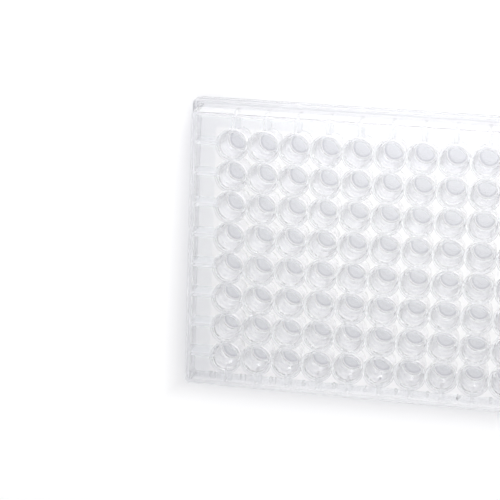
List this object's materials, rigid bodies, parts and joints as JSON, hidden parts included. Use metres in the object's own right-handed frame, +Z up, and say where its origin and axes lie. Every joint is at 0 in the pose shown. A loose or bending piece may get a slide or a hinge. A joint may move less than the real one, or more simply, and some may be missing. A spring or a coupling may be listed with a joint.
{
  "type": "well plate",
  "caption": "Clear moulded laboratory well plate: a flat deck with a close grid of raised-rim wells hanging from it, inside a stepped skirt that stands on the bench.",
  "frame": {"origin": "middle of the skirt's footprint, at the height of the bench that the plate stands on", "axes": "+X along the rows of wells, from the first column to the last; +Y across them, towards the row beside the moulded column numbers; +Z up, out of the wells' mouths"},
  "size_m": [0.1278, 0.0854, 0.0143],
  "materials": {
    "clear_polystyrene": "clear injection-moulded polystyrene with a polished mould finish, slightly milky in the thick places"
  },
  "bodies": {
    "root": {"well_plate": "clear_polystyrene"}
  },
  "joints": []
}
